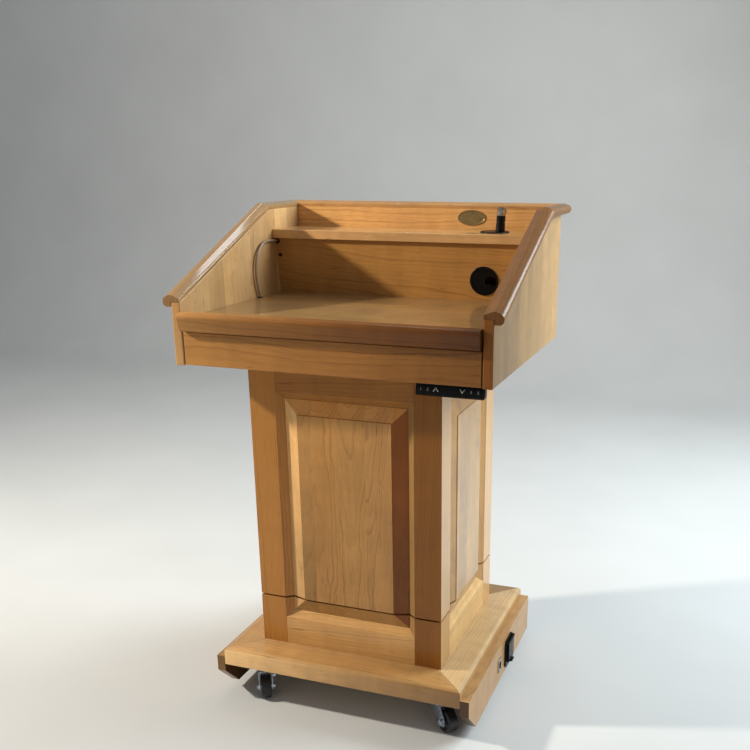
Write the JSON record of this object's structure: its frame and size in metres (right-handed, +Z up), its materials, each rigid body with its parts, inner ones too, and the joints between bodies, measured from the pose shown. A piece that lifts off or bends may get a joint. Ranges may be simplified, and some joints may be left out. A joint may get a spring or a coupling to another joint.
{
  "type": "podium",
  "caption": "Speaker's podium in wood: panelled lifting column on a slab with casters, and a head with a flat desk, drawer, leaning riser, cable shelf and cap rails.",
  "frame": {"origin": "on the floor under the middle of the podium's overall box, at its lowest height", "axes": "+X to the right of the person who speaks, +Y away from them, +Z up"},
  "size_m": [0.674, 0.5679, 1.0282],
  "materials": {
    "cherry": "clear satin lacquer",
    "plywood": "sealed",
    "sleeve_black": "black laminate",
    "lift_steel": "powder coat",
    "zinc_steel": "zinc plated",
    "wheel_black": "matt",
    "black_plastic": "fine texture",
    "key_grey": "soft touch",
    "nickel": "nickel plated",
    "screw_brass": "aged",
    "lead_tan": "satin sheath"
  },
  "bodies": {
    "base": {"base_boards": "cherry", "base_floor_panel": "plywood", "skirt_left": "cherry", "skirt_right": "cherry", "plinth_frame": "cherry", "plinth_panels": "cherry", "inner_sleeve": "sleeve_black", "lift_outer_tube": "lift_steel", "caster_plates": "zinc_steel", "caster_screws": "zinc_steel", "power_inlet_body": "black_plastic", "xlr_jack": "nickel"},
    "lift_middle": {"lift_middle_tube": "lift_steel"},
    "upper": {"lift_inner_tube": "lift_steel", "lift_motor": "lift_steel", "column_stiles": "cherry", "column_top_rails": "cherry", "panels_front_rear": "cherry", "panels_sides": "cherry", "head_floor": "plywood", "side_panel_left": "cherry", "side_panel_right": "cherry", "back_panel": "cherry", "desk_top": "cherry", "desk_nosing": "cherry", "riser_panel": "cherry", "shelf": "cherry", "cap_rails": "cherry", "riser_screws": "screw_brass", "control_box": "black_plastic", "slide_outers": "zinc_steel", "keypad_case": "black_plastic", "grommet_rings": "black_plastic", "control_lead": "lead_tan", "lead_bushes": "black_plastic"},
    "drawer": {"drawer_front": "cherry", "drawer_box": "plywood", "slide_inners": "zinc_steel"},
    "cap_riser": {"grommet_cap_riser": "black_plastic"},
    "cap_shelf": {"grommet_cap_shelf": "black_plastic", "connector_boot": "black_plastic", "connector_shell": "nickel"},
    "latch": {"connector_latch": "nickel"},
    "inlet_lid": {"power_inlet_lid": "black_plastic"},
    "key_1": {"key_1": "key_grey"},
    "key_2": {"key_2": "key_grey"},
    "key_up": {"key_up": "key_grey"},
    "key_down": {"key_down": "key_grey"},
    "key_3": {"key_3": "key_grey"},
    "key_set": {"key_set": "key_grey"},
    "fork_front_left": {"fork_front_left": "zinc_steel"},
    "wheel_front_left": {"wheel_front_left": "wheel_black"},
    "brake_front_left": {"brake_pedal_front_left": "black_plastic"},
    "fork_front_right": {"fork_front_right": "zinc_steel"},
    "wheel_front_right": {"wheel_front_right": "wheel_black"},
    "brake_front_right": {"brake_pedal_front_right": "black_plastic"},
    "fork_rear_left": {"fork_rear_left": "zinc_steel"},
    "wheel_rear_left": {"wheel_rear_left": "wheel_black"},
    "fork_rear_right": {"fork_rear_right": "zinc_steel"},
    "wheel_rear_right": {"wheel_rear_right": "wheel_black"}
  },
  "joints": [
    {"name": "lift", "type": "slide", "parent": "base", "child": "upper", "axis": [0, 0, 1], "range_m": [0, 0.4]},
    {"name": "lift_middle_stage", "type": "slide", "parent": "base", "child": "lift_middle", "axis": [0, 0, 1], "range_m": [0, 0.2]},
    {"name": "drawer_slide", "type": "slide", "parent": "upper", "child": "drawer", "axis": [0, -1, 0], "range_m": [0, 0.28]},
    {"name": "key_1_press", "type": "slide", "parent": "upper", "child": "key_1", "axis": [0, 0.9564, -0.2922], "range_m": [0, 0.0008], "stiffness_N_per_m": 300},
    {"name": "key_2_press", "type": "slide", "parent": "upper", "child": "key_2", "axis": [0, 0.9564, -0.2922], "range_m": [0, 0.0008], "stiffness_N_per_m": 300},
    {"name": "key_up_press", "type": "slide", "parent": "upper", "child": "key_up", "axis": [0, 0.9564, -0.2922], "range_m": [0, 0.0008], "stiffness_N_per_m": 300},
    {"name": "key_down_press", "type": "slide", "parent": "upper", "child": "key_down", "axis": [0, 0.9564, -0.2922], "range_m": [0, 0.0008], "stiffness_N_per_m": 300},
    {"name": "key_3_press", "type": "slide", "parent": "upper", "child": "key_3", "axis": [0, 0.9564, -0.2922], "range_m": [0, 0.0008], "stiffness_N_per_m": 300},
    {"name": "key_set_press", "type": "slide", "parent": "upper", "child": "key_set", "axis": [0, 0.9564, -0.2922], "range_m": [0, 0.0008], "stiffness_N_per_m": 300},
    {"name": "cap_riser_turn", "type": "hinge", "parent": "upper", "child": "cap_riser", "pos_m": [0.186, 0.13403, 0.874], "axis": [0, -0.9903, -0.1391], "continuous": true},
    {"name": "cap_shelf_turn", "type": "hinge", "parent": "upper", "child": "cap_shelf", "pos_m": [0.197, 0.171, 0.9715], "axis": [0, 0, 1], "range_deg": [-90, 90]},
    {"name": "latch_press", "type": "slide", "parent": "cap_shelf", "child": "latch", "axis": [-0.9986, 0, 0.0523], "range_m": [0, 0.001], "stiffness_N_per_m": 300},
    {"name": "inlet_lid_hinge", "type": "hinge", "parent": "base", "child": "inlet_lid", "pos_m": [0.2909, 0.041, 0.09], "axis": [0, -1, 0], "range_deg": [0, 110]},
    {"name": "swivel_front_left", "type": "hinge", "parent": "base", "child": "fork_front_left", "pos_m": [-0.204, -0.202, 0.06], "axis": [0, 0, 1], "continuous": true},
    {"name": "roll_front_left", "type": "hinge", "parent": "fork_front_left", "child": "wheel_front_left", "pos_m": [-0.19185, -0.2227, 0.025], "axis": [0.8625, 0.506, 0], "continuous": true},
    {"name": "brake_front_left", "type": "hinge", "parent": "fork_front_left", "child": "brake_front_left", "pos_m": [-0.18718, -0.19213, 0.0465], "axis": [0.506, -0.8625, 0], "range_deg": [-16, 0]},
    {"name": "swivel_front_right", "type": "hinge", "parent": "base", "child": "fork_front_right", "pos_m": [0.204, -0.202, 0.06], "axis": [0, 0, 1], "continuous": true},
    {"name": "roll_front_right", "type": "hinge", "parent": "fork_front_right", "child": "wheel_front_right", "pos_m": [0.22366, -0.21577, 0.025], "axis": [0.5736, 0.8192, 0], "continuous": true},
    {"name": "brake_front_right", "type": "hinge", "parent": "fork_front_right", "child": "brake_front_right", "pos_m": [0.21518, -0.18603, 0.0465], "axis": [0.8192, -0.5736, 0], "range_deg": [-16, 0]},
    {"name": "swivel_rear_left", "type": "hinge", "parent": "base", "child": "fork_rear_left", "pos_m": [-0.204, 0.174, 0.06], "axis": [0, 0, 1], "continuous": true},
    {"name": "roll_rear_left", "type": "hinge", "parent": "fork_rear_left", "child": "wheel_rear_left", "pos_m": [-0.19658, 0.15118, 0.025], "axis": [0.9511, 0.309, 0], "continuous": true},
    {"name": "swivel_rear_right", "type": "hinge", "parent": "base", "child": "fork_rear_right", "pos_m": [0.204, 0.174, 0.06], "axis": [0, 0, 1], "continuous": true},
    {"name": "roll_rear_right", "type": "hinge", "parent": "fork_rear_right", "child": "wheel_rear_right", "pos_m": [0.2191, 0.15535, 0.025], "axis": [0.7771, 0.6293, 0], "continuous": true}
  ],
  "couplings": [
    {"joint": "lift_middle_stage", "follows": "lift", "ratio": 0.5}
  ]
}
